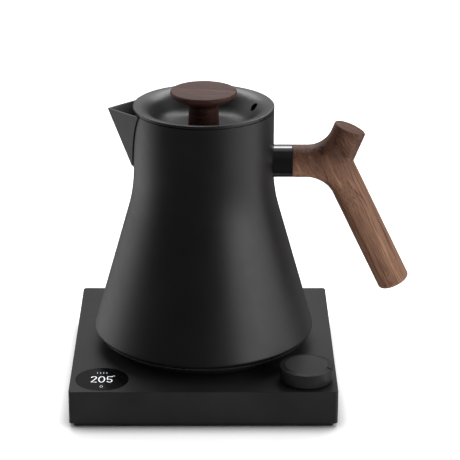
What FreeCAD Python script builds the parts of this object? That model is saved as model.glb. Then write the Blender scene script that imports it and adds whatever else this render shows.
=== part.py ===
import FreeCAD, Part
import math
import os

# Electric kettle on its powered base, in millimetres.
# The origin is the middle of the face that the base stands on: +Z is up, the handle points along +X,
# the spout along -X, and the display and the dial are at the front, on the -Y side.
# The kettle and the lid are drawn from the top face of the base, z = 0, and are raised at export.

# ---- Driving dimensions ----
base_side = 171.5
base_top = 25.1
base_skirt_bottom = 3.0
base_corner = 2.2
base_edge = 0.5
base_wall = 2.6
plinth_inset = 3.3
plate_bottom = 1.6
plate_top = 4.4
foot_inset = 2.6
foot_width = 8.0

control_y = -66.6
display_x = -65.2
display_radius = 17.08
dial_x = 66.1
dial_radius = 17.3
dial_top = 10.7
dial_gap = 0.9
dial_bevel_width = 3.6
dial_bevel_drop = 0.9
dial_notch_angle = -22.0

neck_radius = 45.6
neck_corner_z = 107.3
neck_blend = 101.0
foot_radius = 73.25
foot_z = 9.14
foot_round = 2.4
rim_z = 161.3
shell_wall = 0.9
floor_z = 20.0

spout_tip = (-62.4, 161.3)
spout_keel = (-46.55, 119.7)
spout_spread = 0.981
spout_sheet = 1.4
spout_groove = 0.8
spout_fold = 1.3
spout_depth = 32.0
spout_root_z = 100.0

handle_radius = 10.7
handle_z = 125.45
handle_start_x = 57.25
handle_joint_x = 85.8
grip_lean = 25.7
grip_length = 94.1
stub_lean = 21.9
stub_length = 24.6
upper_blend = 17.0
lower_blend = 21.0

lid_radius = 45.7
lid_top = 163.75
lid_gap = 0.6
lid_sheet = 0.8
bowl_floor = 149.3
bowl_crest_radius = 37.6
bowl_crest_drop = 1.1
bowl_wall_foot = 27.6
pull_radius = 21.5
pull_top = 173.4
pull_stem_low = 10.2
pull_stem_high = 9.3

post_radius = 13.5
post_height = 11.0
ring_radius = 19.0
fit_gap = 0.07
body_gap = 0.4

UP = FreeCAD.Vector(0, 0, 1)


# ---- Helpers ----
def vec(x, y, z):
    return FreeCAD.Vector(x, y, z)


def outline_wire(corners):
    """Closed wire in the XZ plane: (x, z) corners, or (x, z, radius) for a rounded one."""
    edges = []
    ends = []
    count = len(corners)
    for i in range(count):
        here = vec(corners[i][0], 0, corners[i][1])
        radius = corners[i][2] if len(corners[i]) > 2 else 0
        if radius <= 0:
            ends.append((here, here, None))
            continue
        before = vec(corners[i - 1][0], 0, corners[i - 1][1])
        after = vec(corners[(i + 1) % count][0], 0, corners[(i + 1) % count][1])
        to_before = (before - here).normalize()
        to_after = (after - here).normalize()
        half = to_before.getAngle(to_after) / 2
        inward = (to_before + to_after).normalize()
        centre = here + inward * (radius / math.sin(half))
        reach = radius / math.tan(half)
        ends.append((here + to_before * reach, here + to_after * reach, centre - inward * radius))
    for i in range(count):
        start, end, middle = ends[i]
        if middle is not None:
            edges.append(Part.Arc(start, middle, end).toShape())
        following = ends[(i + 1) % count][0]
        if end.distanceToPoint(following) > 1e-6:
            edges.append(Part.LineSegment(end, following).toShape())
    return Part.Wire(edges)


def spun(corners, x=0, y=0):
    """Solid of revolution about a vertical axis at (x, y)."""
    solid = Part.Face(outline_wire(corners)).revolve(vec(0, 0, 0), UP, 360)
    if solid.Volume < 0:
        solid.reverse()
    solid.translate(vec(x, y, 0))
    return solid


def offset_corners(corners, distance):
    """An open run of corners moved to its left by distance, with radii to match."""
    lines = []
    for (x0, z0, _), (x1, z1, _) in zip(corners, corners[1:]):
        length = math.hypot(x1 - x0, z1 - z0)
        dx, dz = (x1 - x0) / length, (z1 - z0) / length
        lines.append((x0 - dz * distance, z0 + dx * distance, dx, dz, length))
    moved = [(lines[0][0], lines[0][1], 0)]
    for (ax, az, adx, adz, _), (bx, bz, bdx, bdz, _), corner in zip(lines, lines[1:], corners[1:]):
        turn = adx * bdz - adz * bdx
        along = ((bx - ax) * bdz - (bz - az) * bdx) / turn
        radius = corner[2] - math.copysign(1, turn) * distance if corner[2] > 0 else 0
        moved.append((ax + adx * along, az + adz * along, max(radius, 0)))
    x, z, dx, dz, length = lines[-1]
    moved.append((x + dx * length, z + dz * length, 0))
    return moved


def spun_sheet(corners, thickness):
    """Sheet of even thickness, spun from an open run of corners; it lies to the left of the run."""
    return spun(corners + offset_corners(corners, thickness)[::-1])


def tube(outer, inner, z0, z1, x=0, y=0):
    return spun([(inner, z0), (outer, z0), (outer, z1), (inner, z1)], x, y)


def rod(radius, start, end):
    start = vec(*start)
    along = vec(*end) - start
    return Part.makeCylinder(radius, along.Length, start, along)


def block(x0, x1, y0, y1, z0, z1, corner=0):
    """Box between two corners, with rounded vertical edges if a corner radius is given."""
    solid = Part.makeBox(x1 - x0, y1 - y0, z1 - z0, vec(x0, y0, z0))
    if corner > 0:
        upright = [e for e in solid.Edges if abs(e.tangentAt(e.FirstParameter).z) > 0.99]
        solid = solid.makeFillet(corner, upright)
    return solid


def square(side, z0, z1, corner=0):
    return block(-side / 2, side / 2, -side / 2, side / 2, z0, z1, corner)


def bent_tube(points, radius, bend):
    """Round tube along straight runs joined by tangent arcs."""
    points = [vec(*p) for p in points]
    edges = []
    last = points[0]
    for before, here, after in zip(points, points[1:], points[2:]):
        back = (before - here).normalize()
        ahead = (after - here).normalize()
        half = back.getAngle(ahead) / 2
        inward = (back + ahead).normalize()
        start = here + back * (bend / math.tan(half))
        end = here + ahead * (bend / math.tan(half))
        middle = here + inward * (bend / math.sin(half) - bend)
        edges.append(Part.LineSegment(last, start).toShape())
        edges.append(Part.Arc(start, middle, end).toShape())
        last = end
    edges.append(Part.LineSegment(last, points[-1]).toShape())
    section = Part.Wire(Part.Circle(points[0], points[1] - points[0], radius).toShape())
    return Part.Wire(edges).makePipeShell([section], True, False)


def screw(head_radius, shank_radius, length, at, direction):
    """Pan-head screw: the head's underside is at the given point, the shank runs along direction."""
    head_height = head_radius * 0.6
    head = spun([(0, 0), (head_radius, 0), (head_radius, -head_height, head_radius * 0.3),
                 (0, -head_height)])
    shank = Part.makeCylinder(shank_radius, length, vec(0, 0, 0), UP)
    slot_width = head_radius * 0.25
    slot_depth = head_height * 0.5
    slots = [Part.makeBox(head_radius, slot_width, slot_depth,
                          vec(-head_radius / 2, -slot_width / 2, -head_height)),
             Part.makeBox(slot_width, head_radius, slot_depth,
                          vec(-slot_width / 2, -head_radius / 2, -head_height))]
    solid = head.fuse(shank).removeSplitter().cut(slots)
    return placed(solid, at, direction)


def placed(solid, at, direction):
    """A solid drawn along +Z from the origin, turned to a direction and moved to a point."""
    turn = FreeCAD.Rotation(UP, vec(*direction))
    moved = solid.copy()
    moved.Placement = FreeCAD.Placement(vec(*at), turn).multiply(moved.Placement)
    return moved


def around(radius, angles):
    return [(radius * math.cos(math.radians(a)), radius * math.sin(math.radians(a))) for a in angles]


def export(name, shape, raised=0):
    shape = shape.copy()
    shape.translate(vec(0, 0, raised))
    shape.exportStep("parts/" + name + ".step")


# ---- Base ----
inside_side = base_side - 2 * base_wall
ceiling = base_top - base_wall
half = base_side / 2
inside_half = inside_side / 2

boss_points = [(-38, -76), (38, -76), (-76, 76), (76, 76)]
boss_radius = 4.2
boss_hole = 1.3
screw_shank = 1.25

connector_flange = 24.0
connector_body = 20.5
connector_bottom = 10.0

display_ledge = 15.4
window_thickness = 2.0

encoder_half = 6.0
encoder_top = 19.4
encoder_bottom = 13.4
bushing_radius = 4.4
shaft_radius = 3.0
plunger_radius = 3.9
dial_hole = 6.5
dial_hub_radius = 7.0

inlet_x = 36.0
inlet_z = 13.5
inlet_hole = 6.5
inlet_bore = 3.8
inlet_flange = 8.2
inlet_flange_thickness = 1.2
inlet_length = 12.0

switch_x = -36.0
switch_z = 13.5
switch_knob = 4.0
switch_travel = 3.0
switch_slot_height = 4.6

board_thickness = 1.6
power_board_z = 8.0
power_board = (-14.0, 62.0, 24.0, 62.0)


def make_base_housing():
    """Square cover, open underneath, with openings for connector, display, dial, inlet and switch."""
    shell = square(base_side, base_skirt_bottom, base_top, base_corner)
    top_edges = [e for e in shell.Edges if abs(e.BoundBox.ZMin - base_top) < 1e-6]
    shell = shell.makeFillet(base_edge, top_edges)
    shell = shell.cut(square(inside_side, base_skirt_bottom - 1, ceiling, base_corner / 2))
    bosses = [rod(boss_radius, (x, y, plate_top), (x, y, ceiling)) for x, y in boss_points]
    display_seat = rod(display_radius + 1.6, (display_x, control_y, ceiling - 1.4),
                       (display_x, control_y, ceiling))
    shell = shell.fuse(bosses + [display_seat]).removeSplitter()
    cuts = [rod(boss_hole, (x, y, plate_top - 1), (x, y, ceiling - 2)) for x, y in boss_points]
    cuts.append(rod(connector_flange + 0.1, (0, 0, ceiling - 1), (0, 0, base_top + 1)))
    cuts.append(rod(display_radius + fit_gap, (display_x, control_y, base_top - window_thickness),
                    (display_x, control_y, base_top + 1)))
    cuts.append(rod(display_ledge, (display_x, control_y, ceiling - 3),
                    (display_x, control_y, base_top)))
    cuts.append(rod(dial_hole, (dial_x, control_y, ceiling - 1), (dial_x, control_y, base_top + 1)))
    cuts.append(rod(inlet_hole, (inlet_x, inside_half - 1, inlet_z), (inlet_x, half + 1, inlet_z)))
    slot_left = switch_x - switch_knob / 2 - body_gap
    slot_right = switch_x + switch_knob / 2 + switch_travel + body_gap
    cuts.append(block(slot_left, slot_right, inside_half - 1, half + 1,
                      switch_z - switch_slot_height / 2, switch_z + switch_slot_height / 2))
    return shell.cut(cuts)


def make_base_plate():
    """Bottom plate that shows as a recessed plinth, with screw holes and standoffs for the boards."""
    side = base_side - 2 * plinth_inset
    plate = square(side, plate_bottom, plate_top, base_corner / 2)
    standoffs = [rod(3.0, (x, y, plate_top), (x, y, power_board_z)) for x, y in board_corners()]
    plate = plate.fuse(standoffs).removeSplitter()
    cuts = []
    for x, y in boss_points:
        cuts.append(rod(screw_shank + 0.3, (x, y, plate_bottom - 1), (x, y, plate_top + 1)))
        cuts.append(rod(3.2, (x, y, plate_bottom - 1), (x, y, plate_bottom + 1.4)))
    for x, y in board_corners():
        cuts.append(rod(1.1, (x, y, plate_top - 1), (x, y, power_board_z + 1)))
    return plate.cut(cuts)


def board_corners():
    x0, x1, y0, y1 = power_board
    inset = 4.0
    return [(x, y) for x in (x0 + inset, x1 - inset) for y in (y0 + inset, y1 - inset)]


def make_foot_ring():
    """Soft square ring that the base stands on."""
    outer = base_side - 2 * foot_inset
    inner = outer - 2 * foot_width
    ring = square(outer, 0, plate_bottom, base_corner)
    return ring.cut(square(inner, -1, plate_bottom + 1, 3.0))


def make_base_screws():
    return Part.makeCompound([screw(2.2, screw_shank, 9.0, (x, y, plate_bottom + 1.4), (0, 0, 1))
                              for x, y in boss_points])


def make_display_window():
    rim = 0.3
    return spun([(0, base_top - window_thickness),
                 (display_radius, base_top - window_thickness),
                 (display_radius, base_top - 0.05, rim),
                 (0, base_top - 0.05)], display_x, control_y)


def make_display_screen():
    x, y = display_x, control_y
    top = base_top - window_thickness - 0.2
    return block(x - 11, x + 11, y - 9.5, y + 9.5, top - 2.2, top)


def make_display_board():
    x, y = display_x, control_y
    top = base_top - window_thickness - 2.4
    board = block(x - 15, x + 15, y - 15, y + 15, top - 1.2, top, 2)
    chip = block(x - 4, x + 4, y - 4, y + 4, top - 2.4, top - 1.2)
    return board.fuse(chip).removeSplitter()


def make_dial_board():
    x, y = dial_x, control_y
    return block(x - 13, x + 13, y - 13, y + 13, encoder_bottom - board_thickness, encoder_bottom, 2)


def make_encoder_body():
    """Rotary encoder case with its bushing; the pressed switch slides inside the bushing."""
    x, y = dial_x, control_y
    case = block(x - encoder_half, x + encoder_half, y - encoder_half, y + encoder_half,
                 encoder_bottom, encoder_top)
    bushing = rod(bushing_radius + 1.2, (x, y, encoder_top), (x, y, base_top - 0.6))
    well = rod(plunger_radius + fit_gap, (x, y, encoder_bottom + 2.0), (x, y, base_top + 1))
    return case.fuse(bushing).removeSplitter().cut(well)


def make_encoder_plunger():
    """Sleeve that slides down in the bushing when the dial is pressed; the shaft turns in it."""
    x, y = dial_x, control_y
    return tube(plunger_radius, shaft_radius + fit_gap, encoder_bottom + 3.4, base_top - 0.9, x, y)


def make_encoder_shaft():
    """Shaft with a flat on its side, which drives the dial."""
    x, y = dial_x, control_y
    shaft = rod(shaft_radius, (x, y, encoder_bottom + 3.5), (x, y, base_top + dial_top - 2.6))
    flat = block(x + shaft_radius - 0.9, x + shaft_radius + 1, y - 4, y + 4, base_top + 1.8,
                 base_top + dial_top)
    return shaft.cut(flat)


def make_dial_hub():
    """Hub inside the dial, bored for the shaft and its flat."""
    x, y = dial_x, control_y
    bottom = base_top + 2.0
    top = base_top + dial_top - 1.6
    hub = rod(dial_hub_radius, (x, y, bottom), (x, y, top))
    bore = rod(shaft_radius + 0.02, (x, y, bottom - 1), (x, y, base_top + dial_top - 2.5))
    flat = block(x + shaft_radius - 0.88, x + shaft_radius + 1, y - 4, y + 4, bottom - 1, base_top + dial_top)
    return hub.cut(bore.cut(flat))


def make_dial_knob():
    """Hollow turned knob: slight draft, a wide shallow bevel round the top and one marker notch in it."""
    bottom = base_top + dial_gap
    top = base_top + dial_top
    draft = 0.45
    skirt = 2.2
    crown = 1.55
    hub_seat = dial_hub_radius + 0.05
    collar = hub_seat + 1.95
    hollow_top = top - 3.4
    knob = spun([(hub_seat, bottom + 0.4), (hub_seat, top - crown), (0, top - crown), (0, top),
                 (dial_radius - dial_bevel_width, top), (dial_radius, top - dial_bevel_drop, 0.3),
                 (dial_radius - draft, bottom, 0.3), (dial_radius - skirt, bottom),
                 (dial_radius - skirt, hollow_top, 1.0), (collar, hollow_top, 1.0), (collar, bottom + 0.4)])
    notch_half = 0.5
    notch = block(dial_radius - dial_bevel_width, dial_radius + 1, -notch_half, notch_half,
                  top - dial_bevel_drop - 0.6, top + 1)
    notch.rotate(vec(0, 0, 0), UP, dial_notch_angle)
    knob = knob.cut(notch)
    knob.translate(vec(dial_x, control_y, 0))
    return knob


def make_inlet_bush():
    """Bush in the rear wall that the mains lead enters through."""
    def ring(radius, y0, y1):
        return rod(radius, (inlet_x, y0, inlet_z), (inlet_x, y1, inlet_z))
    body = ring(inlet_hole - 0.05, half - inlet_length + inlet_flange_thickness, half)
    flange = ring(inlet_flange, half, half + inlet_flange_thickness)
    outer_edge = [e for e in flange.Edges if abs(e.BoundBox.YMin - half - inlet_flange_thickness) < 1e-6]
    flange = flange.makeFillet(0.5, outer_edge)
    bore = ring(inlet_bore, half - inlet_length, half + inlet_flange_thickness + 1)
    return body.fuse(flange).removeSplitter().cut(bore)


def make_cord_clamp():
    """Saddle that grips the mains lead just inside its bush."""
    y0 = half - inlet_length - 4.0
    saddle = block(inlet_x - 9, inlet_x + 9, y0 - 5.0, y0, plate_top, inlet_z + 5.5)
    grip_radius = inlet_bore - 0.3
    gap = rod(grip_radius, (inlet_x, y0 - 6.0, inlet_z), (inlet_x, y0 + 1, inlet_z))
    return saddle.cut(gap)


def make_hold_switch_body():
    """Case of the slide switch, behind the rear wall."""
    centre = switch_x + switch_travel / 2
    case_front = inside_half - 2.6
    case = block(centre - 8, centre + 8, case_front - 6, case_front, switch_z - 4, switch_z + 4)
    channel = block(centre - 4.6, centre + 4.6, case_front - 2.2, case_front + 1,
                    switch_z - 1.4, switch_z + 1.4)
    return case.cut(channel)


def make_hold_slider():
    """Sliding knob of the hold switch with three finger ribs."""
    x0 = switch_x - switch_knob / 2
    x1 = switch_x + switch_knob / 2
    knob_half = switch_slot_height / 2 - body_gap
    knob = block(x0, x1, inside_half - 0.6, half + 1.2, switch_z - knob_half, switch_z + knob_half)
    tail = block(x0 + 0.9, x1 - 0.9, inside_half - 4.4, inside_half - 0.6, switch_z - 1.0, switch_z + 1.0)
    carrier = block(x0 - 2.2, x1 + 2.2, inside_half - 2.2, inside_half - 0.6, switch_z - 3.6, switch_z + 3.6)
    grooves = [block(x - 0.25, x + 0.25, half + 0.8, half + 2, switch_z - 3, switch_z + 3)
               for x in (switch_x - 1.0, switch_x, switch_x + 1.0)]
    return knob.fuse([tail, carrier]).removeSplitter().cut(grooves)


def make_power_board():
    x0, x1, y0, y1 = power_board
    board = block(x0, x1, y0, y1, power_board_z, power_board_z + board_thickness, 2)
    return board.cut([rod(1.5, (x, y, 0), (x, y, 20)) for x, y in board_corners()])


def make_board_screws():
    top = power_board_z + board_thickness
    return Part.makeCompound([screw(2.0, 1.0, 4.6, (x, y, top), (0, 0, -1)) for x, y in board_corners()])


def make_relay():
    top = power_board_z + board_thickness
    return block(-8, 10, 44, 54, top, top + 11.5, 0.8)


def make_transformer():
    """Wound ferrite transformer: two core halves round a bobbin."""
    top = power_board_z + board_thickness
    core = block(17, 37, 41, 57, top + 1.6, top + 9.6)
    windings = block(20, 34, 38.4, 59.6, top, top + 11.4, 1.5)
    return core.fuse(windings).removeSplitter()


def make_capacitor():
    top = power_board_z + board_thickness
    can = spun([(0, top), (4.6, top, 0.6), (4.6, top + 11.6, 0.6), (0, top + 11.6)], 47, 43)
    return can


def make_heat_sink():
    """Finned bracket that cools the heater's power switch."""
    top = power_board_z + board_thickness
    web = block(-9, 15, 33.5, 35.5, top, top + 11)
    fins = [block(x, x + 1.2, 35.5, 40.5, top, top + 11) for x in (-9, -4.5, 0, 4.5, 9, 13.8)]
    return web.fuse(fins).removeSplitter()


def make_mains_terminal():
    """Screw terminal block with three ways."""
    top = power_board_z + board_thickness
    ways = (42.5, 47.0, 51.5)
    body = block(39.5, 54.5, 51, 58, top, top + 9, 0.6)
    wells = [rod(1.5, (x, 54.5, top + 5), (x, 54.5, top + 10)) for x in ways]
    mouths = [rod(1.5, (x, 57, top + 2.6), (x, 59, top + 2.6)) for x in ways]
    return body.cut(wells + mouths)


def make_buzzer():
    return spun([(0, plate_top), (6.0, plate_top), (6.0, plate_top + 5.5, 0.6), (1.2, plate_top + 5.5),
                 (1.2, plate_top + 3.5), (0, plate_top + 3.5)], 10, -40)


groove_centres = (4.9, 9.8)
groove_half = 1.5
contact_sheet = 0.5


def make_base_connector():
    """Fixed half of the round connector: flange, body below and a grooved post above."""
    top = base_top
    corners = [(0, connector_bottom), (connector_body, connector_bottom),
               (connector_body, ceiling), (connector_flange, ceiling), (connector_flange, top, 0.4),
               (post_radius, top), (post_radius, top + post_height, 0.8), (0, top + post_height)]
    solid = spun(corners)
    floor = top - 3.0
    grooves = [tube(r + groove_half, r - groove_half, floor, top + post_height + 1) for r in groove_centres]
    pin_hole = rod(1.6, (0, 0, floor), (0, 0, top + post_height + 1))
    return solid.cut(grooves + [pin_hole])


def make_base_contacts():
    """Two spring contact rings, each against the outer wall of its groove."""
    rings = [tube(r + groove_half, r + groove_half - contact_sheet, base_top - 3.0, base_top + 8.0)
             for r in groove_centres]
    return Part.makeCompound(rings)


def make_coupler_ring():
    """Collar that guards the contacts and turns on the post with the kettle."""
    bottom = base_top + body_gap
    return spun([(post_radius + fit_gap, bottom), (ring_radius, bottom), (ring_radius, bottom + 3.0),
                 (ring_radius - 2.4, bottom + 6.2, 0.8), (post_radius + fit_gap, bottom + 6.2)])


def make_base_leads():
    """Three insulated leads from the power board to the underside of the connector."""
    high = power_board_z + board_thickness + 1.0
    low = 7.2
    leads = []
    for x in (-6.0, 0.0, 6.0):
        leads.append(bent_tube([(x, 31.0, high), (x, 23.0, high), (x, 19.4, low), (x, 11.0, low),
                                (x, 11.0, connector_bottom)], 0.9, 1.3))
    return Part.makeCompound(leads)


# ---- Kettle, drawn from the top face of the base ----
cone_lean = math.atan2(foot_radius - neck_radius, neck_corner_z - foot_z)
shell_bottom_inner = 69.8
lip_radius = 70.3


def shell_run():
    """Outside of the shell from its bottom return up to the rim."""
    return [(shell_bottom_inner, foot_z, 0), (foot_radius, foot_z, foot_round),
            (neck_radius, neck_corner_z, neck_blend), (neck_radius, rim_z, 0)]


def shell_outside(extra=0.0):
    """Solid inside the outer face of the shell, or larger than it by a given amount."""
    corners = offset_corners(shell_run(), -extra) if extra else shell_run()
    return spun([(0, corners[0][1])] + corners + [(0, rim_z)])


def keel_x(z):
    run = (spout_tip[0] - spout_keel[0]) / (spout_tip[1] - spout_keel[1])
    return spout_keel[0] + run * (z - spout_keel[1])


def spout_wedge(inset, top, fold):
    """Leaning three-sided prism bounded by the spout's two facets, each moved inwards by inset."""
    run = (spout_tip[0] - spout_keel[0]) / (spout_tip[1] - spout_keel[1])
    facet_normal_x = spout_spread / math.sqrt(1 + spout_spread ** 2 * (1 + run ** 2))
    tip = keel_x(top) + inset / facet_normal_x
    back = tip + spout_depth
    corners = [vec(tip, 0, top), vec(back, -spout_depth * spout_spread, top),
               vec(back, spout_depth * spout_spread, top)]
    section = Part.Face(Part.makePolygon(corners + [corners[0]]))
    drop = top - spout_root_z
    wedge = section.extrude(vec(-run * drop, 0, -drop))
    if fold > 0:
        keel = [e for e in wedge.Edges if e.BoundBox.YLength < 1e-6 and e.BoundBox.ZLength > 1]
        wedge = wedge.makeFillet(fold, keel)
    return wedge


def make_body_shell():
    """Drawn steel shell with a notch behind the spout."""
    shell = spun_sheet(shell_run(), shell_wall)
    notch = spout_wedge(spout_sheet + spout_groove, rim_z + 5, 0)
    return shell.cut(notch)


def make_spout():
    """Folded sheet with two flat facets; its outer half stops short of the shell and leaves a groove."""
    outer = spout_wedge(0, rim_z, spout_fold)
    middle = spout_wedge(spout_sheet / 2, rim_z + 5, spout_fold / 2)
    inner = spout_wedge(spout_sheet, rim_z + 5, 0.3)
    skin = outer.cut(middle).cut(shell_outside(spout_groove))
    lining = outer.common(middle).cut(inner).cut(shell_outside())
    return skin.fuse(lining).removeSplitter()


def inner_radius(z):
    """Inside radius of the shell on its straight flare."""
    return neck_radius + (neck_corner_z - z) * math.tan(cone_lean) - shell_wall / math.cos(cone_lean)


probe_spot = (-31.5, 0.0)
probe_radius = 3.0


def make_heater_plate():
    """Floor of the water space, with a rim that lies against the shell."""
    gap = 0.08
    sheet = 0.8
    low = foot_z + 3.0
    edge_low = inner_radius(low) - gap
    edge_high = inner_radius(floor_z) - gap
    plate = spun([(0, floor_z - sheet), (edge_high - sheet * 1.4, floor_z - sheet),
                  (edge_low - sheet, low), (edge_low, low), (edge_high, floor_z, 0.6), (0, floor_z)])
    x, y = probe_spot
    return plate.cut(rod(probe_radius + 1.5, (x, y, 0), (x, y, floor_z + 1)))


diffuser_radius = 51.0
diffuser_bottom = floor_z - 0.8 - 3.0


def make_diffuser_plate():
    plate = spun([(0, diffuser_bottom), (diffuser_radius, diffuser_bottom, 0.5),
                  (diffuser_radius, floor_z - 0.8), (0, floor_z - 0.8)])
    x, y = probe_spot
    return plate.cut(rod(probe_radius + 3.4, (x, y, 0), (x, y, floor_z + 1)))


element_radius = 43.0
element_tube = 3.2


element_open_angle = 25.0
pin_length = 7.0


def pin_start(sign):
    angle = math.radians(sign * element_open_angle)
    return element_radius * math.cos(angle), element_radius * math.sin(angle)


def pin_direction(sign):
    angle = math.radians(sign * element_open_angle)
    return sign * math.sin(angle), -sign * math.cos(angle)


def pin_end(sign):
    (x, y), (dx, dy) = pin_start(sign), pin_direction(sign)
    return x + dx * pin_length, y + dy * pin_length


def make_heating_element():
    """Tubular element: most of a ring under the spreader, with a cold pin at each end."""
    z = diffuser_bottom - element_tube
    circle = Part.Circle(vec(element_radius, 0, z), vec(0, 1, 0), element_tube)
    section = Part.Face(Part.Wire(circle.toShape()))
    ring = section.revolve(vec(0, 0, 0), UP, 360 - 2 * element_open_angle)
    if ring.Volume < 0:
        ring.reverse()
    ring.rotate(vec(0, 0, 0), UP, element_open_angle)
    pins = []
    for sign in (1, -1):
        (x, y), (dx, dy) = pin_start(sign), pin_direction(sign)
        pins.append(rod(1.2, (x - dx, y - dy, z), (*pin_end(sign), z)))
    return ring.fuse(pins).removeSplitter()


def make_temperature_probe():
    """Closed steel sleeve that stands in the water, clamped under the floor."""
    x, y = probe_spot
    top = floor_z + 11.0
    below = floor_z - 0.8 - 2.0
    return spun([(0, below - 3.0), (probe_radius + 0.6, below - 3.0), (probe_radius + 0.6, below),
                 (probe_radius + 2.6, below), (probe_radius + 2.6, below + 1.0),
                 (probe_radius, below + 1.0), (probe_radius, top, probe_radius * 0.9), (0, top)], x, y)


def make_probe_seal():
    """Grommet that seals the probe in the floor."""
    x, y = probe_spot
    inner = probe_radius + 0.02
    under = floor_z - 0.8
    return spun([(inner, under - 1.0), (inner + 2.4, under - 1.0), (inner + 2.4, under),
                 (probe_radius + 1.48, under), (probe_radius + 1.48, floor_z),
                 (inner + 2.4, floor_z), (inner + 2.4, floor_z + 0.9, 0.4), (inner, floor_z + 0.9)], x, y)


def make_thermal_cutout():
    """Two snap-disc cut-outs under the spreader."""
    pieces = []
    for x, y in around(32.0, (80, 280)):
        pieces.append(spun([(0, diffuser_bottom - 7.0), (5.0, diffuser_bottom - 7.0),
                            (5.0, diffuser_bottom - 3.0), (7.0, diffuser_bottom - 3.0, 0.5),
                            (7.0, diffuser_bottom), (0, diffuser_bottom)], x, y))
    return Part.makeCompound(pieces)


socket_inner = ring_radius + 0.8
socket_outer = 24.4
socket_roof = post_height + 1.2
socket_top = diffuser_bottom - 1.6


def make_kettle_socket():
    """Moving half of the round connector: a cup that comes down over the post and its collar."""
    bottom = 2.2
    return spun([(0, socket_roof), (socket_inner, socket_roof), (socket_inner, bottom),
                 (socket_outer, bottom), (socket_outer, socket_top, 1.0), (0, socket_top)])


def make_socket_contacts():
    """Ring contacts and the earth pin that enter the grooves of the post."""
    rings = [tube(r + 0.3, r - 0.3, 0.6, socket_roof) for r in groove_centres]
    pin = spun([(0, 0.8), (1.1, 0.8, 0.5), (1.1, socket_roof), (0, socket_roof)])
    return Part.makeCompound(rings + [pin])


cover_sheet = 1.5
cover_screw_seat = body_gap + 1.9
cover_flange_z = 7.2
cover_side_radius = 63.5
cover_edge_radius = 68.4
seal_bottom = 8.6
cover_foot_radius = 61.5
post_circle = 55.5
post_angles = (90, 210, 330)


def make_bottom_cover():
    """Moulded pan that closes the underside; its ring-shaped floor is what the kettle rests on."""
    run = [(socket_outer + 0.3, body_gap, 0), (cover_foot_radius, body_gap, 2.0),
           (cover_side_radius, cover_flange_z, 1.6), (cover_edge_radius, cover_flange_z, 0)]
    cover = spun_sheet(run, cover_sheet)
    spots = around(post_circle, post_angles)
    bosses = [rod(4.4, (x, y, body_gap + 0.5), (x, y, cover_screw_seat + 1.2)) for x, y in spots]
    cover = cover.fuse(bosses).removeSplitter()
    holes = [rod(1.4, (x, y, 0), (x, y, cover_screw_seat + 2)) for x, y in spots]
    wells = [rod(2.9, (x, y, -1), (x, y, cover_screw_seat)) for x, y in spots]
    return cover.cut(holes + wells)


def make_lip_ring():
    """Thin steel trim ring clipped round the edge of the bottom cover."""
    inner = cover_edge_radius + 0.05
    return spun([(inner, cover_flange_z + 0.3), (lip_radius, cover_flange_z + 0.3, 0.35),
                 (lip_radius, seal_bottom, 0.2), (inner, seal_bottom)])


def make_bottom_seal():
    """Silicone ring between the trim ring and the shell; it shows as a dark line."""
    return tube(lip_radius - 0.5, cover_edge_radius + 0.05, seal_bottom, foot_z)


def make_cover_posts():
    """Posts welded under the floor that hold the bottom cover."""
    posts = []
    for x, y in around(post_circle, post_angles):
        post = rod(2.9, (x, y, cover_screw_seat + 1.2), (x, y, floor_z - 0.8))
        posts.append(post.cut(rod(1.15, (x, y, 0), (x, y, 12))))
    return Part.makeCompound(posts)


def make_bottom_screws():
    return Part.makeCompound([screw(2.4, 1.1, 7.0, (x, y, cover_screw_seat), (0, 0, 1))
                              for x, y in around(post_circle, post_angles)])


def make_kettle_leads():
    """Two insulated leads from the element pins to the connector."""
    z = diffuser_bottom - element_tube
    leads = []
    for sign in (1, -1):
        x, y = pin_end(sign)
        dx, dy = pin_direction(sign)
        leads.append(bent_tube([(x, y, z), (x + 5.0 * dx, y + 5.0 * dy, z), (31.0, sign * 3.0, 9.0),
                                (socket_outer, sign * 3.0, 9.0)], 1.0, 1.8))
    return Part.makeCompound(leads)


# ---- Handle ----
ferrule_inner = 8.4
boss_end_x = 60.0
stud_radius = 2.5


def handle_bend(inner_radius_of_bend, turn, upward):
    """Quarter-like bend that rounds the inside of the junction."""
    radius = inner_radius_of_bend + handle_radius
    start_x = handle_joint_x - radius * math.tan(math.radians(turn) / 2)
    side = 1 if upward else -1
    section = Part.Circle(vec(start_x, 0, handle_z), vec(1, 0, 0), handle_radius - 0.1).toShape()
    bend = Part.Face(Part.Wire(section)).revolve(vec(start_x, 0, handle_z + side * radius),
                                                 vec(0, -side, 0), turn)
    if bend.Volume < 0:
        bend.reverse()
    return bend


def handle_limb(length, direction, end_round):
    """Round limb from the junction outwards, with a rounded rim on its end cut."""
    limb = spun([(0, 0), (handle_radius, 0), (handle_radius, length, end_round), (0, length)])
    return placed(limb, (handle_joint_x, 0, handle_z), direction)


def make_handle_grip():
    """Walnut handle: a short neck, a long grip leaning down and out, and a short stub above."""
    grip = math.radians(grip_lean)
    stub = math.radians(stub_lean)
    neck = rod(handle_radius, (handle_start_x, 0, handle_z), (handle_joint_x, 0, handle_z))
    pieces = [handle_limb(grip_length, (math.sin(grip), 0, -math.cos(grip)), 2.2),
              handle_limb(stub_length, (math.sin(stub), 0, math.cos(stub)), 0.9),
              handle_bend(upper_blend, 90 - stub_lean, True),
              handle_bend(lower_blend, 90 - grip_lean, False)]
    solid = neck.fuse(pieces).removeSplitter()
    socket = rod(4.0, (handle_start_x - 1, 0, handle_z), (handle_start_x + 24, 0, handle_z))
    shoulder = rod(7.2, (handle_start_x - 1, 0, handle_z), (boss_end_x + 0.3, 0, handle_z))
    return solid.cut([socket, shoulder])


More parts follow.
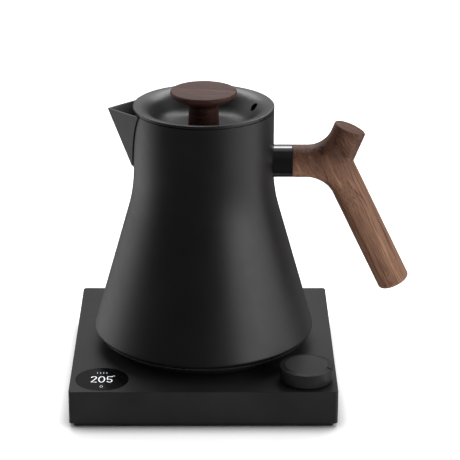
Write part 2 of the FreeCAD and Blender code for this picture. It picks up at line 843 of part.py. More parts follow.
def make_handle_ferrule():
    """Gloss tube between the shell and the wood."""
    ferrule = rod(handle_radius, (neck_radius - 6, 0, handle_z), (handle_start_x, 0, handle_z))
    bore = rod(ferrule_inner, (neck_radius - 8, 0, handle_z), (handle_start_x + 1, 0, handle_z))
    return ferrule.cut([bore, shell_outside()])


def make_handle_boss():
    """Threaded boss welded to the shell inside the ferrule."""
    boss = rod(7.0, (neck_radius - 4, 0, handle_z), (boss_end_x, 0, handle_z))
    thread = rod(stud_radius, (neck_radius + 2, 0, handle_z), (boss_end_x + 1, 0, handle_z))
    return boss.cut([thread, shell_outside()])


def make_handle_stud():
    """Threaded stud that draws the wood against the ferrule."""
    return rod(stud_radius - 0.05, (neck_radius + 2.5, 0, handle_z), (handle_start_x + 20, 0, handle_z))


def make_handle_insert():
    """Brass threaded insert in the neck of the wood."""
    start = boss_end_x + 0.6
    sleeve = rod(3.98, (start, 0, handle_z), (handle_start_x + 22, 0, handle_z))
    return sleeve.cut(rod(stud_radius, (start - 1, 0, handle_z), (handle_start_x + 20.5, 0, handle_z)))


# ---- Lid ----
skirt_outer = 43.4
skirt_bottom = 150.6
gasket_z = 154.0
steam_hole_radius = 3.0
steam_hole_angle = 19.0
steam_hole_from_axis = 34.5
inner_plate_z = 146.4


def lid_run():
    """Top face of the lid from the middle of the bowl out to the rim and down its edge."""
    return [(4.0, bowl_floor, 0), (bowl_wall_foot, bowl_floor, 12.0),
            (bowl_crest_radius, lid_top - bowl_crest_drop, 13.0), (lid_radius, lid_top, 0.7),
            (lid_radius, rim_z + lid_gap, 0)]


def make_lid_dish():
    """Dished steel lid with a folded edge and a steam hole in the wall of its bowl."""
    run = lid_run()
    dish = spun([(2.4, bowl_floor)] + run[1:] + offset_corners(run, -lid_sheet)[::-1][:-1]
                + [(2.4, bowl_floor - lid_sheet)])
    height = lid_top - bowl_crest_drop - bowl_floor
    lean = math.atan2(height, bowl_crest_radius - bowl_wall_foot)
    wall_z = bowl_floor + (steam_hole_from_axis - bowl_wall_foot) * math.tan(lean)
    across = (-math.sin(lean), 0, math.cos(lean))
    drill = placed(Part.makeCylinder(steam_hole_radius, 12, vec(0, 0, -6), UP),
                   (steam_hole_from_axis, 0, wall_z), across)
    drill.rotate(vec(0, 0, 0), UP, steam_hole_angle)
    return dish.cut(drill)


def make_lid_skirt():
    """Steel collar under the lid that centres it in the neck."""
    high = rim_z + lid_gap + 0.2
    return spun([(skirt_outer - 0.8, skirt_bottom), (skirt_outer, skirt_bottom), (skirt_outer, high),
                 (skirt_outer - 0.8, high)])


def make_lid_gasket():
    """Silicone lip seal round the skirt, a little clear of the neck."""
    outer = neck_radius - shell_wall - body_gap
    return spun([(skirt_outer + 0.02, gasket_z), (outer, gasket_z + 0.6, 0.3), (outer, gasket_z + 2.0, 0.3),
                 (skirt_outer + 0.02, gasket_z + 2.6)])


def make_lid_inner_plate():
    """Plate that closes the lid from below, with a steam hole under the one in the bowl."""
    z = inner_plate_z
    plate = spun([(2.4, z), (skirt_outer - 1.0, z, 1.6), (skirt_outer - 1.0, skirt_bottom + 2.0),
                  (skirt_outer - 1.8, skirt_bottom + 2.0), (skirt_outer - 1.8, z + 0.8, 0.8),
                  (2.4, z + 0.8)])
    x = steam_hole_from_axis * math.cos(math.radians(steam_hole_angle))
    y = steam_hole_from_axis * math.sin(math.radians(steam_hole_angle))
    return plate.cut(rod(steam_hole_radius, (x, y, z - 1), (x, y, z + 2)))


def make_lid_spacer():
    return tube(7.0, 2.4, inner_plate_z + 0.8, bowl_floor - lid_sheet)


def make_lid_pull():
    """Walnut mushroom pull: a thin disc with a shallow cone under it, on a slightly tapered stem."""
    under_disc = pull_top - 9.2
    pull = spun([(0, bowl_floor), (pull_stem_low, bowl_floor), (pull_stem_high, under_disc, 3.0),
                 (pull_radius - 3.6, pull_top - 5.6, 6.0), (pull_radius, pull_top - 2.7, 1.6),
                 (pull_radius, pull_top, 1.1), (0, pull_top)])
    return pull.cut(rod(3.2, (0, 0, bowl_floor - 1), (0, 0, bowl_floor + 12)))


def make_pull_insert():
    sleeve = rod(3.18, (0, 0, bowl_floor + 0.2), (0, 0, bowl_floor + 11.5))
    return sleeve.cut(rod(1.55, (0, 0, bowl_floor - 1), (0, 0, bowl_floor + 10.5)))


def make_lid_screw():
    return screw(3.6, 1.5, 11.5, (0, 0, inner_plate_z), (0, 0, 1))


drawn_from_floor = {
    "base_housing": make_base_housing,
    "base_plate": make_base_plate,
    "foot_ring": make_foot_ring,
    "base_screws": make_base_screws,
    "display_window": make_display_window,
    "display_screen": make_display_screen,
    "display_board": make_display_board,
    "dial_board": make_dial_board,
    "encoder_body": make_encoder_body,
    "encoder_plunger": make_encoder_plunger,
    "encoder_shaft": make_encoder_shaft,
    "dial_hub": make_dial_hub,
    "dial_knob": make_dial_knob,
    "inlet_bush": make_inlet_bush,
    "cord_clamp": make_cord_clamp,
    "hold_switch_body": make_hold_switch_body,
    "hold_slider": make_hold_slider,
    "power_board": make_power_board,
    "board_screws": make_board_screws,
    "relay": make_relay,
    "transformer": make_transformer,
    "capacitor": make_capacitor,
    "heat_sink": make_heat_sink,
    "mains_terminal": make_mains_terminal,
    "buzzer": make_buzzer,
    "base_connector": make_base_connector,
    "base_contacts": make_base_contacts,
    "base_leads": make_base_leads,
    "coupler_ring": make_coupler_ring,
}

drawn_from_base_top = {
    "body_shell": make_body_shell,
    "spout": make_spout,
    "heater_plate": make_heater_plate,
    "diffuser_plate": make_diffuser_plate,
    "heating_element": make_heating_element,
    "temperature_probe": make_temperature_probe,
    "probe_seal": make_probe_seal,
    "thermal_cutout": make_thermal_cutout,
    "kettle_socket": make_kettle_socket,
    "socket_contacts": make_socket_contacts,
    "kettle_leads": make_kettle_leads,
    "bottom_cover": make_bottom_cover,
    "lip_ring": make_lip_ring,
    "bottom_seal": make_bottom_seal,
    "cover_posts": make_cover_posts,
    "bottom_screws": make_bottom_screws,
    "handle_boss": make_handle_boss,
    "handle_ferrule": make_handle_ferrule,
    "handle_stud": make_handle_stud,
    "handle_insert": make_handle_insert,
    "handle_grip": make_handle_grip,
    "lid_dish": make_lid_dish,
    "lid_skirt": make_lid_skirt,
    "lid_gasket": make_lid_gasket,
    "lid_inner_plate": make_lid_inner_plate,
    "lid_spacer": make_lid_spacer,
    "lid_pull": make_lid_pull,
    "pull_insert": make_pull_insert,
    "lid_screw": make_lid_screw,
}

os.makedirs("parts", exist_ok=True)
for name, make in drawn_from_floor.items():
    export(name, make())
for name, make in drawn_from_base_top.items():
    export(name, make(), base_top)
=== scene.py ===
import math
import bpy
import bmesh
import numpy as np
from mathutils import Matrix, Vector


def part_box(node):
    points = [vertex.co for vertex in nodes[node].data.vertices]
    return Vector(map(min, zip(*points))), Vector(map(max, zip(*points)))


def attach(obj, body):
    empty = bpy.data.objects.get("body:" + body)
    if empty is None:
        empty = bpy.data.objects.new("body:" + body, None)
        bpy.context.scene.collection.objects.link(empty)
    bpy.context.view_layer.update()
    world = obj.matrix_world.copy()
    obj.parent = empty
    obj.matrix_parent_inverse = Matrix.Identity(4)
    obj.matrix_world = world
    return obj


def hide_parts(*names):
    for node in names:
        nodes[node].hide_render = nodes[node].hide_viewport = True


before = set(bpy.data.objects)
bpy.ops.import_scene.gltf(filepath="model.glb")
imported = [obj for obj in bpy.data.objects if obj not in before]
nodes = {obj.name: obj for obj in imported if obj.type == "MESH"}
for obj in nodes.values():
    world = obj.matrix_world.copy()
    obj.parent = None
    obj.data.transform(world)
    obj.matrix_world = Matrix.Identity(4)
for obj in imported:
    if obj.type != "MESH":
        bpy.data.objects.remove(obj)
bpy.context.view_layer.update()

# Electric kettle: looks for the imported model. Lengths are metres unless a name says otherwise.
scene = bpy.context.scene
MM = 0.001

base_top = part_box("base_housing")[1][2]
grip_end_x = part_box("handle_grip")[1][0]


# ---- Node graphs ----
class NodeTree:
    """Short ways to add and join nodes in the tree of a material or a world."""

    def __init__(self, owner):
        owner.use_nodes = True
        self.tree = owner.node_tree

    def add(self, kind, inputs=None, **settings):
        node = self.tree.nodes.new("ShaderNode" + kind)
        for key, value in settings.items():
            setattr(node, key, value)
        for key, value in (inputs or {}).items():
            self.put(node.inputs[key], value)
        return node

    def put(self, socket, value):
        if isinstance(value, bpy.types.NodeSocket):
            self.tree.links.new(value, socket)
        else:
            socket.default_value = value

    def ramp(self, factor, stops, smooth=False):
        node = self.add("ValToRGB", {"Fac": factor})
        elements = node.color_ramp.elements
        while len(elements) < len(stops):
            elements.new(0.5)
        for element, (position, colour) in zip(elements, stops):
            element.position = position
            element.color = (*colour, 1)
        node.color_ramp.interpolation = "EASE" if smooth else "LINEAR"
        return node.outputs["Color"]

    def spread(self, factor, low, high, start=0.3, end=0.7, smooth=False):
        """Factor from start to end becomes low to high."""
        values = {"Value": factor, "From Min": start, "From Max": end, "To Min": low, "To Max": high}
        node = self.add("MapRange", values, interpolation_type="SMOOTHSTEP" if smooth else "LINEAR")
        return node.outputs["Result"]

    def blend(self, factor, first, second, mode="MIX"):
        node = self.add("Mix", data_type="RGBA", blend_type=mode)
        self.put(node.inputs[0], factor)
        for socket, value in ((node.inputs[6], first), (node.inputs[7], second)):
            self.put(socket, value if isinstance(value, bpy.types.NodeSocket) else (*value, 1))
        return node.outputs[2]

    def maths(self, operation, first, second):
        return self.add("Math", {0: first, 1: second}, operation=operation).outputs[0]


class Graph(NodeTree):
    """One material. Its textures use the object's own metres."""

    def __init__(self, name):
        self.material = bpy.data.materials.new(name)
        super().__init__(self.material)
        self.shader = self.tree.nodes["Principled BSDF"]
        self.place = self.add("TexCoord").outputs["Object"]

    def surface(self, values):
        for key, value in values.items():
            self.put(self.shader.inputs[key], value)

    def mapped(self, scale=(1, 1, 1), rotation=(0, 0, 0), location=(0, 0, 0), vector=None):
        values = {"Vector": vector or self.place, "Scale": scale,
                  "Rotation": rotation, "Location": location}
        return self.add("Mapping", values).outputs["Vector"]

    def noise(self, size, detail=2.0, rough=0.5, vector=None):
        """Noise whose features are about size metres across."""
        values = {"Vector": vector or self.place, "Scale": 1 / size, "Detail": detail, "Roughness": rough}
        return self.add("TexNoise", values).outputs["Fac"]

    def height(self):
        return self.add("SeparateXYZ", {"Vector": self.place}).outputs["Z"]

    def from_axis(self):
        """Distance from the kettle's upright axis."""
        flat = self.add("VectorMath", {0: self.place, 1: (1, 1, 0)}, operation="MULTIPLY").outputs[0]
        return self.add("VectorMath", {0: flat}, operation="LENGTH").outputs["Value"]

    def bump(self, height, depth, strength):
        values = {"Height": height, "Distance": depth, "Strength": strength}
        return self.add("Bump", values).outputs["Normal"]


def tinted(colour, amount):
    return tuple(min(1.0, c * amount) for c in colour)


# ---- Materials ----
def coat(name, colour, roughness, specular=0.5, grain=0.0005, relief=0.00002,
         matt_middle=None, painted_light_inside=None):
    """Baked powder coat: fine orange peel, slight blotches and a faint bloom of handling marks.

    matt_middle gives (inner radius, outer radius, specular within) for a duller area round the axis.
    inside is a second colour for the faces of the part that are turned towards +X: painted light, which
    makes the spout's interior look lit.
    """
    g = Graph(name)
    blotch = g.noise(0.03, 3)
    marks = g.noise(0.006, 4, 0.65)
    peel = g.noise(grain, 2, 0.6)
    worn = g.maths("MULTIPLY", blotch, marks)
    shade = g.blend(g.spread(blotch, 0, 1), tinted(colour, 0.86), tinted(colour, 1.16))
    # Painted light: faces turned towards +X take the lighter second colour, as if light fell into the
    # spout.
    if painted_light_inside:
        facing = g.add("SeparateXYZ", {"Vector": g.add("TexCoord").outputs["Normal"]}).outputs["X"]
        shade = g.blend(g.spread(facing, 0, 1, 0.1, 0.5), shade, painted_light_inside)
    if matt_middle:
        near, far, low = matt_middle
        specular = g.spread(g.from_axis(), low, specular, near, far)
    g.surface({
        "Base Color": shade,
        "Roughness": g.spread(worn, roughness - 0.025, roughness + 0.035, 0.15, 0.4),
        "Specular IOR Level": specular,
        "Normal": g.bump(peel, relief, 0.35),
    })
    return g.material


def gloss(name, colour, roughness, specular=0.5, coat_weight=0.0):
    """Smooth lacquer or glass with faint wiping marks."""
    g = Graph(name)
    wipes = g.noise(0.004, 3, 0.6, g.mapped((0.25, 1, 1), (0, 0, 0.5)))
    veil = g.noise(0.012, 2)
    g.surface({
        "Base Color": g.blend(veil, tinted(colour, 0.8), tinted(colour, 1.2)),
        "Roughness": g.spread(wipes, roughness, roughness + 0.05),
        "Specular IOR Level": specular,
        "Coat Weight": coat_weight,
        "Coat Roughness": 0.04,
        "Normal": g.bump(veil, 0.00002, 0.15),
    })
    return g.material


def moulded(name, colour, roughness, grain=0.0005, relief=0.00004):
    """Moulded plastic with a spark-eroded grain."""
    g = Graph(name)
    cloud = g.noise(0.015, 3)
    values = {"Vector": g.place, "Scale": 1 / grain, "Randomness": 1.0}
    pits = g.add("TexVoronoi", values).outputs["Distance"]
    g.surface({
        "Base Color": g.blend(cloud, tinted(colour, 0.85), tinted(colour, 1.15)),
        "Roughness": g.spread(cloud, roughness - 0.04, roughness + 0.05),
        "Normal": g.bump(pits, relief, 0.4),
    })
    return g.material


def elastomer(name, colour):
    """Rubber or silicone: matt, slightly dusty."""
    g = Graph(name)
    dust = g.noise(0.003, 5, 0.7)
    skin = g.noise(0.0004, 2)
    g.surface({
        "Base Color": g.ramp(dust, [(0.35, tinted(colour, 0.8)), (0.75, tinted(colour, 1.7))]),
        "Roughness": g.spread(dust, 0.6, 0.78),
        "Specular IOR Level": 0.35,
        "Normal": g.bump(skin, 0.00003, 0.3),
    })
    return g.material


def spun_metal(name, colour, roughness, turned=True):
    """Metal with fine tool marks, in rings about the kettle's axis or along X."""
    g = Graph(name)
    if turned:
        joined = g.add("CombineXYZ", {"X": g.from_axis(), "Y": g.maths("MULTIPLY", g.height(), 0.3)})
        lines = g.noise(0.00035, 3, 0.7, joined.outputs["Vector"])
    else:
        lines = g.noise(0.0004, 3, 0.7, g.mapped((0.04, 1, 1)))
    stain = g.noise(0.01, 3)
    g.surface({
        "Base Color": g.blend(stain, tinted(colour, 0.88), tinted(colour, 1.08)),
        "Metallic": 1.0,
        "Roughness": g.spread(lines, roughness - 0.06, roughness + 0.1),
        "Normal": g.bump(lines, 0.00002, 0.3),
    })
    return g.material


def circuit_board(name, colour):
    """Solder mask with copper tracks and pads showing through."""
    g = Graph(name)
    values = {"Vector": g.place, "Scale": 320.0}
    cells = g.add("TexVoronoi", values, feature="F1", distance="MANHATTAN").outputs["Distance"]
    tracks = g.ramp(cells, [(0.42, (0, 0, 0)), (0.46, (1, 1, 1)), (0.54, (1, 1, 1)), (0.58, (0, 0, 0))])
    pads = g.ramp(cells, [(0.1, (1, 1, 1)), (0.14, (0, 0, 0))])
    mask = g.blend(tracks, colour, tinted(colour, 1.9))
    g.surface({
        "Base Color": g.blend(pads, mask, (0.6, 0.42, 0.2)),
        "Roughness": g.spread(cells, 0.3, 0.42),
        "Normal": g.bump(tracks, 0.00004, 0.4),
    })
    return g.material


def sleeve(name, colour):
    """Insulated lead: ribbed silicone with a slow change of tint along it."""
    g = Graph(name)
    ribs = g.noise(0.0008, 2, 0.5, g.mapped((1, 0.3, 1)))
    age = g.noise(0.008, 2)
    g.surface({
        "Base Color": g.blend(age, tinted(colour, 0.8), tinted(colour, 1.1)),
        "Roughness": g.spread(ribs, 0.42, 0.58),
        "Normal": g.bump(ribs, 0.00005, 0.4),
    })
    return g.material


def walnut(name, tilt, dark, middle, light, ring_gap=0.0065, offset=(0, 0, 0), tone_and_shade_drift=None):
    """Oiled walnut: growth rings, streaks, dark seams, fine fibres and open pores.

    tilt turns the texture so that its X axis runs along the grain.
    drift gives (from height, to height, tint below, tint above) for a slow change of tone with height:
    partly the wood's own tone, partly painted shade.
    """
    g = Graph(name)
    along = g.mapped((1, 1, 1), tilt, offset)
    warp = g.noise(0.045, 3, 0.55, g.mapped((0.35, 1, 1), vector=along))
    sway = {0: (0, 1, 1), "Scale": g.maths("MULTIPLY", warp, 0.02)}
    shift = g.add("VectorMath", sway, operation="SCALE").outputs[0]
    bent = g.add("VectorMath", {0: along, 1: shift}, operation="ADD").outputs[0]
    rings = g.noise(ring_gap, 2, 0.5, g.mapped((0.04, 1.6, 0.55), vector=bent))
    streaks = g.noise(0.0015, 4, 0.65, g.mapped((0.022, 1, 1), vector=bent))
    fibres = g.noise(0.00032, 3, 0.6, g.mapped((0.02, 1, 1), vector=bent))
    pores = g.noise(0.00040, 2, 0.5, g.mapped((0.03, 1, 1), (0.4, 0, 0), vector=bent))
    bands = g.noise(0.0042, 1, 0.4, g.mapped((0.018, 1, 1), (0.9, 0, 0), vector=bent))
    tone = g.maths("ADD", g.maths("MULTIPLY", rings, 0.5), g.maths("MULTIPLY", streaks, 0.5))
    base = g.ramp(tone, [(0.36, dark), (0.46, middle), (0.55, middle), (0.66, light)])
    plain, seam = (1, 1, 1), (0.42, 0.38, 0.36)
    seams = g.ramp(bands, [(0.475, plain), (0.495, seam), (0.505, seam), (0.525, plain)])
    fine = g.ramp(fibres, [(0.3, (0.62, 0.59, 0.57)), (0.7, plain)])
    flecks = g.ramp(pores, [(0.34, (0.42, 0.37, 0.35)), (0.45, plain)])
    colour = g.blend(1.0, g.blend(0.75, base, seams, "MULTIPLY"), fine, "MULTIPLY")
    colour = g.blend(0.8, colour, flecks, "MULTIPLY")
    # Tone that changes with height: the darker upper end is partly the walnut's own tone, partly painted
    # shade.
    if tone_and_shade_drift:
        low, high, low_tint, high_tint = tone_and_shade_drift
        change = g.spread(g.height(), 0, 1, low, high)
        colour = g.blend(1.0, colour, g.ramp(change, [(0, low_tint), (1, high_tint)]), "MULTIPLY")
    depth = g.maths("MULTIPLY", pores, fibres)
    g.surface({
        "Base Color": colour,
        "Roughness": g.spread(streaks, 0.46, 0.62),
        "Specular IOR Level": 0.2,
        "Normal": g.bump(depth, 0.00012, 0.35),
    })
    return g.material


def glowing(name, colour, strength):
    """Lit figure of the display, with a slight cell structure."""
    g = Graph(name)
    cells = g.noise(0.0003, 1)
    lit = g.blend(cells, tinted(colour, 0.85), colour)
    g.surface({"Base Color": lit, "Emission Color": lit, "Emission Strength": strength, "Roughness": 0.5})
    return g.material


black_body = (0.0052, 0.0052, 0.0055)
black_base = (0.0215, 0.0215, 0.0221)
grip_tilt = (0, math.radians(-64.3), 0)
pull_tilt = (0, 0, math.radians(12))

finishes = {
    "body": coat("satin_body_coat", black_body, 0.40),
    "lid": coat("satin_lid_coat", black_body, 0.38, matt_middle=(0.026, 0.036, 0.2)),
    # The spout's faces turned towards +X get a lighter colour: painted light, so its interior looks lit.
    "spout": coat("satin_spout_coat", black_body, 0.40, painted_light_inside=(0.15, 0.15, 0.153)),
    "base": coat("matt_base_coat", black_base, 0.42, 0.16, grain=0.0004, relief=0.00003),
    "dial": coat("dial_coat", (0.017, 0.017, 0.018), 0.36, 0.2, grain=0.0004),
    "ferrule": gloss("ferrule_lacquer", (0.006, 0.006, 0.007), 0.04, 0.55, 0.6),
    "window": gloss("display_window_glass", (0.0035, 0.0035, 0.004), 0.12, 0.09),
    "digits": glowing("display_light", (0.9, 0.92, 0.95), 0.72),
    "marks": glowing("display_dim_light", (0.5, 0.51, 0.53), 0.55),
    "screen": gloss("display_screen_glass", (0.01, 0.01, 0.012), 0.1),
    "plinth": moulded("plinth_plastic", (0.008, 0.008, 0.009), 0.55),
    "connector": moulded("connector_plastic", (0.012, 0.012, 0.013), 0.36),
    "inner": moulded("inner_plastic", (0.05, 0.05, 0.055), 0.5),
    "pale_inner": moulded("pale_inner_plastic", (0.55, 0.53, 0.48), 0.5),
    "lip": coat("lip_ring_coat", (0.02, 0.02, 0.021), 0.28, 0.6, grain=0.0004, relief=0.00001),
    "rubber": elastomer("foot_rubber", (0.012, 0.012, 0.012)),
    "silicone": elastomer("silicone_seal", (0.01, 0.01, 0.01)),
    "stainless": spun_metal("stainless_steel", (0.56, 0.55, 0.54), 0.3),
    "fastener": spun_metal("zinc_plated_steel", (0.5, 0.5, 0.49), 0.34, False),
    "aluminium": spun_metal("satin_aluminium", (0.72, 0.72, 0.73), 0.38, False),
    "brass": spun_metal("contact_brass", (0.76, 0.55, 0.26), 0.28),
    "board": circuit_board("board_mask", (0.012, 0.09, 0.035)),
    "core": moulded("ferrite_core", (0.06, 0.05, 0.04), 0.45),
    "lead": sleeve("lead_sleeve", (0.45, 0.42, 0.38)),
    # The handle gets darker towards its top: partly its own tone, partly painted shade.
    "walnut": walnut("handle_walnut", grip_tilt, (0.10, 0.046, 0.026), (0.31, 0.162, 0.101),
                     (0.56, 0.325, 0.195), tone_and_shade_drift=(0.138, 0.158, (1, 1, 1), (0.42, 0.37, 0.38))),
    "pull_walnut": walnut("pull_walnut", pull_tilt, (0.034, 0.014, 0.010), (0.088, 0.036, 0.027),
                          (0.15, 0.070, 0.052), ring_gap=0.008, offset=(0.02, 0.01, 0)),
}

finish_of_node = {
    "base_housing": "base", "base_plate": "plinth", "foot_ring": "rubber", "base_screws": "fastener",
    "display_window": "window", "display_screen": "screen", "display_board": "board",
    "dial_board": "board", "encoder_body": "fastener", "encoder_plunger": "inner",
    "encoder_shaft": "fastener", "dial_hub": "inner", "dial_knob": "dial", "inlet_bush": "rubber",
    "cord_clamp": "inner", "hold_switch_body": "inner", "hold_slider": "plinth",
    "power_board": "board", "board_screws": "fastener", "relay": "inner", "transformer": "core",
    "capacitor": "aluminium", "heat_sink": "aluminium", "mains_terminal": "pale_inner",
    "buzzer": "inner", "base_connector": "connector", "base_contacts": "brass",
    "base_leads": "lead", "coupler_ring": "connector", "body_shell": "body", "spout": "spout",
    "heater_plate": "stainless", "diffuser_plate": "aluminium", "heating_element": "stainless",
    "temperature_probe": "stainless", "probe_seal": "silicone", "thermal_cutout": "pale_inner",
    "kettle_socket": "connector", "socket_contacts": "brass", "kettle_leads": "lead",
    "bottom_cover": "plinth", "lip_ring": "lip", "bottom_seal": "silicone",
    "cover_posts": "fastener", "bottom_screws": "fastener", "handle_boss": "fastener",
    "handle_ferrule": "ferrule", "handle_stud": "fastener", "handle_insert": "brass",
    "handle_grip": "walnut", "lid_dish": "lid", "lid_skirt": "stainless", "lid_gasket": "silicone",
    "lid_inner_plate": "stainless", "lid_spacer": "silicone", "lid_pull": "pull_walnut",
    "pull_insert": "brass", "lid_screw": "fastener",
}


def dress(obj, finish):
    obj.data.materials.clear()
    obj.data.materials.append(finishes[finish])


for node_name, finish_name in finish_of_node.items():
    dress(nodes[node_name], finish_name)


# ---- Pieces ----
def new_piece(name, mesh, finish, body):
    piece = bpy.data.objects.new(name, mesh)
    scene.collection.objects.link(piece)
    dress(piece, finish)
    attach(piece, body)


def apply_modifiers(obj):
    evaluated = obj.evaluated_get(bpy.context.evaluated_depsgraph_get())
    mesh = bpy.data.meshes.new_from_object(evaluated)
    obj.modifiers.clear()
    obj.data = mesh


def make_handle():
    """The wooden handle, with the valleys between its limbs carved smooth."""
    voxel = 0.00045
    smoothing_passes = 70
    joint_before_grip_end = 0.0503
    joint_above_base = 0.12545
    reach = 0.030
    full_share = 0.6
    crease_start, crease_fade = 0.006, 0.004
    crease_half_width, crease_side_fade = 0.004, 0.003

    mesh = nodes["handle_grip"].data.copy()
    mesh.name = "walnut_handle"
    handle = bpy.data.objects.new("walnut_handle", mesh)
    scene.collection.objects.link(handle)
    remesh = handle.modifiers.new("remesh", "REMESH")
    remesh.mode = "VOXEL"
    remesh.voxel_size = voxel
    remesh.use_smooth_shade = True
    bpy.context.view_layer.update()
    apply_modifiers(handle)

    # Full smoothing near the joint of the limbs, fading outward; the crease between stub and grip stays.
    points = np.empty(len(handle.data.vertices) * 3)
    handle.data.vertices.foreach_get("co", points)
    across, sideways, up = points.reshape(-1, 3).T
    right_of_joint = across - (grip_end_x - joint_before_grip_end)
    away = np.hypot(right_of_joint, up - (base_top + joint_above_base))
    weight = np.clip((reach - away) / ((1 - full_share) * reach), 0, 1)
    past_crease_start = np.clip((right_of_joint - crease_start) / crease_fade, 0, 1)
    near_middle = np.clip(1 - (np.abs(sideways) - crease_half_width) / crease_side_fade, 0, 1)
    weight *= 1 - past_crease_start * near_middle
    group = handle.vertex_groups.new(name="valleys")
    for index in np.nonzero(weight > 0)[0]:
        group.add([int(index)], float(weight[index]), "REPLACE")

    smooth = handle.modifiers.new("smooth", "SMOOTH")
    smooth.factor = 0.5
    smooth.iterations = smoothing_passes
    smooth.vertex_group = "valleys"
    bpy.context.view_layer.update()
    apply_modifiers(handle)
    handle.data.shade_smooth()
    dress(handle, "walnut")
    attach(handle, "kettle")
    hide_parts("handle_grip")


def prism(bm, outline, top, bottom):
    upper = [bm.verts.new((p.x, p.y, top)) for p in outline]
    lower = [bm.verts.new((p.x, p.y, bottom)) for p in outline]
    count = len(outline)
    bm.faces.new(upper)
    bm.faces.new(lower[::-1])
    for i in range(count):
        j = (i + 1) % count
        bm.faces.new((upper[j], upper[i], lower[i], lower[j]))


def ribbon(bm, points, width, top, bottom, closed=False):
    """A flat stroke of even width along points in the XY plane, with thickness and rounded ends."""
    line = [Vector(p) for p in points]
    count = len(line)
    left, right = [], []
    for i, here in enumerate(line):
        before = line[i - 1] if i > 0 or closed else here
        after = line[(i + 1) % count] if i < count - 1 or closed else here
        along = (after - before).normalized()
        side = Vector((-along.y, along.x)) * (width / 2)
        left.append(here + side)
        right.append(here - side)
    for i in range(count if closed else count - 1):
        j = (i + 1) % count
        prism(bm, (left[i], right[i], right[j], left[j]), top, bottom)
    if not closed:
        for end in (line[0], line[-1]):
            disc = [end + Vector((math.cos(a), math.sin(a))) * (width / 2)
                    for a in np.linspace(0, 2 * math.pi, 16, endpoint=False)]
            prism(bm, disc, top, bottom)


def arc(cx, cy, rx, ry, start, end, steps=18):
    return [(cx + rx * math.cos(math.radians(a)), cy + ry * math.sin(math.radians(a)))
            for a in np.linspace(start, end, steps)]


def make_strokes(name, finish, strokes):
    """Lit strokes on the display window. Each is (points, dx, dy, closed, width), in millimetres."""
    low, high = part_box("display_window")
    centre_x, centre_y = (low[0] + high[0]) / 2, (low[1] + high[1]) / 2
    above, below = 0.00004, 0.00003
    bm = bmesh.new()
    for points, dx, dy, closed, width in strokes:
        line = [(centre_x + (x + dx) * MM, centre_y + (y + dy) * MM) for x, y in points]
        ribbon(bm, line, width * MM, high[2] + above, high[2] - below, closed)
    bmesh.ops.recalc_face_normals(bm, faces=bm.faces)
    mesh = bpy.data.meshes.new(name)
    bm.to_mesh(mesh)
    bm.free()
    new_piece(name, mesh, finish, "base")


def make_display_digits():
    """Three digits of a temperature."""
    half_w, half_h, stroke = 1.6, 4.15, 0.72
    two = arc(0, half_h - half_w * 1.15, half_w, half_w * 1.15, 165, -38, 22)
    two += [(-half_w, -half_h), (half_w + 0.1, -half_h)]
    zero = arc(0, 0, half_w + 0.25, half_h, 0, 360, 40)[:-1]
    five = [(half_w, half_h), (-half_w + 0.35, half_h), (-half_w + 0.1, 0.5)]
    five += arc(0, -half_h + half_w * 1.35, half_w, half_w * 1.35, 128, -155, 24)
    make_strokes("display_digits", "digits", [
        (two, -5.3, 0, False, stroke), (zero, -0.25, 0, True, stroke), (five, 4.85, 0, False, stroke)])


def make_display_marks():
    """Small dimmer marks: a degree ring, four mode bars above the digits and a drop below them."""
    degree = arc(0, 0, 0.42, 0.6, 0, 360, 16)[:-1]
    drop = [(0, 1.6)] + arc(0, -0.45, 0.85, 0.95, 25, -205, 14)
    bar = [(0, -0.8), (0, 0.8)]
    bars = [(bar, -3.4 + 2.0 * i, 9.6, False, 0.55) for i in range(4)]
    make_strokes("display_marks", "marks", bars + [
        (degree, 7.55, 5.1, True, 0.4), (drop, 0.0, -10.3, True, 0.45)])


make_handle()
make_display_digits()
make_display_marks()


# ---- Floor, lights and camera ----
middle_of_kettle = (0, 0, 0.11)

# Brightness of the surround against the bearing in degrees: 0 is the front, positive to the right.
surround = [(-180, 0.5), (-145, 0.64), (-122, 1.25), (-108, 1.35), (-92, 0.62), (-78, 0.10), (8, 0.05),
            (32, 0.12), (62, 0.72), (92, 1.5), (108, 0.4), (125, 0.18), (150, 0.26), (180, 0.8)]
low_behind = 0.02
front_ceiling, back_ceiling = 0.12, 0.75


def softbox(name, place, size, power):
    """A soft rectangular light that faces the kettle."""
    data = bpy.data.lights.new(name, "AREA")
    data.shape = "RECTANGLE"
    data.size, data.size_y = size
    data.energy = power
    lamp = bpy.data.objects.new(name, data)
    scene.collection.objects.link(lamp)
    lamp.location = place
    toward_kettle = Vector(middle_of_kettle) - Vector(place)
    lamp.rotation_euler = toward_kettle.to_track_quat("-Z", "Y").to_euler()


def make_floor():
    """Pale floor with a little light of its own, less close to the part, for a tight contact shadow."""
    mesh = bpy.data.meshes.new("floor")
    reach = 6.0
    mesh.from_pydata([(-reach, -reach, 0), (reach, -reach, 0), (reach, reach, 0), (-reach, reach, 0)],
                     [], [(0, 1, 2, 3)])
    floor = bpy.data.objects.new("floor", mesh)
    scene.collection.objects.link(floor)
    g = Graph("pale_floor")
    cloud = g.noise(0.4, 2)
    shade = g.blend(cloud, (0.86, 0.86, 0.86), (0.9, 0.9, 0.9))
    open_share = g.add("AmbientOcclusion", {"Distance": 0.014}, samples=8).outputs["AO"]
    fill = g.ramp(open_share, [(0.45, (0.0, 0.0, 0.0)), (0.72, (0.5, 0.5, 0.5)), (0.95, (1, 1, 1))])
    g.surface({"Base Color": shade, "Roughness": 0.9, "Specular IOR Level": 0.0,
               "Emission Color": g.blend(1.0, shade, fill, "MULTIPLY"), "Emission Strength": 0.68})
    mesh.materials.append(g.material)
    floor.visible_glossy = False


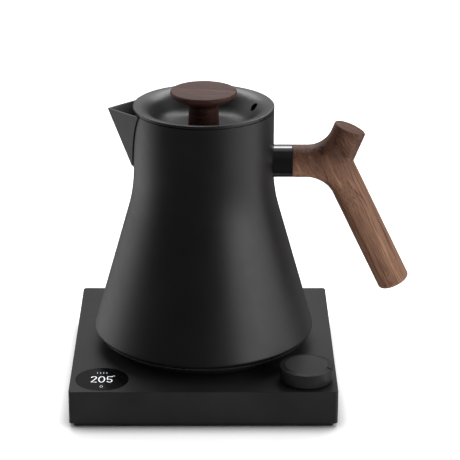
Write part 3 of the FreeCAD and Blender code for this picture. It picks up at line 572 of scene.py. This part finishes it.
def make_world():
    """Studio surround by direction: bright at both sides, dark in front, with a pale ceiling behind."""
    world = bpy.data.worlds.new("studio")
    scene.world = world
    sky = NodeTree(world)
    parts = sky.add("SeparateXYZ", {0: sky.add("TexCoord").outputs["Generated"]})
    across, ahead, upward = (parts.outputs[key] for key in "XYZ")
    bearing = sky.maths("ARCTAN2", across, sky.maths("SUBTRACT", 0.0, ahead))
    turned = sky.spread(bearing, 0, 1, -math.pi, math.pi)
    stops = [((degrees + 180) / 360, (value, value, value)) for degrees, value in surround]
    walls = sky.ramp(turned, stops, smooth=True)
    behind = sky.spread(ahead, 0, 1, 0.8, 0.95, smooth=True)
    low_down = sky.spread(upward, 1, 0, 0.02, 0.26, smooth=True)
    darkened = sky.maths("MULTIPLY", behind, low_down)
    walls = sky.blend(darkened, walls, (low_behind, low_behind, low_behind))
    ceiling = sky.spread(ahead, front_ceiling, back_ceiling, -0.15, 0.2, smooth=True)
    overhead = sky.spread(upward, 0, 1, 0.45, 0.85, smooth=True)
    sky.put(sky.tree.nodes["Background"].inputs["Color"], sky.blend(overhead, walls, ceiling))


def make_camera():
    """Long lens from the front, a little right of the axis, looking down about 21 degrees."""
    place = Vector((5.98, -1267.86, 591.65)) * MM
    yaw, pitch, roll = math.radians(0.510), math.radians(21.108), math.radians(-0.191)
    ahead = Vector((math.sin(yaw) * math.cos(pitch), math.cos(yaw) * math.cos(pitch), -math.sin(pitch)))
    right = Vector((math.cos(yaw), -math.sin(yaw), 0))
    down = ahead.cross(right)
    across = right * math.cos(roll) + down * math.sin(roll)
    below = down * math.cos(roll) - right * math.sin(roll)
    data = bpy.data.cameras.new("camera")
    data.sensor_width = 36
    data.lens = 161.33
    camera = bpy.data.objects.new("camera", data)
    scene.collection.objects.link(camera)
    turn = Matrix((across, -below, -ahead)).transposed()
    camera.matrix_world = Matrix.Translation(place) @ turn.to_4x4()
    scene.camera = camera


make_floor()
make_world()
softbox("overhead_box", (0.1, 0.75, 1.1), size=(1.5, 0.42), power=15)
softbox("front_fill", (1.1, -0.9, 0.35), size=(0.9, 0.7), power=4.5)
softbox("right_box", (1.25, -0.4, 0.5), size=(0.5, 0.8), power=2.0)
make_camera()
scene.view_settings.view_transform = "Standard"
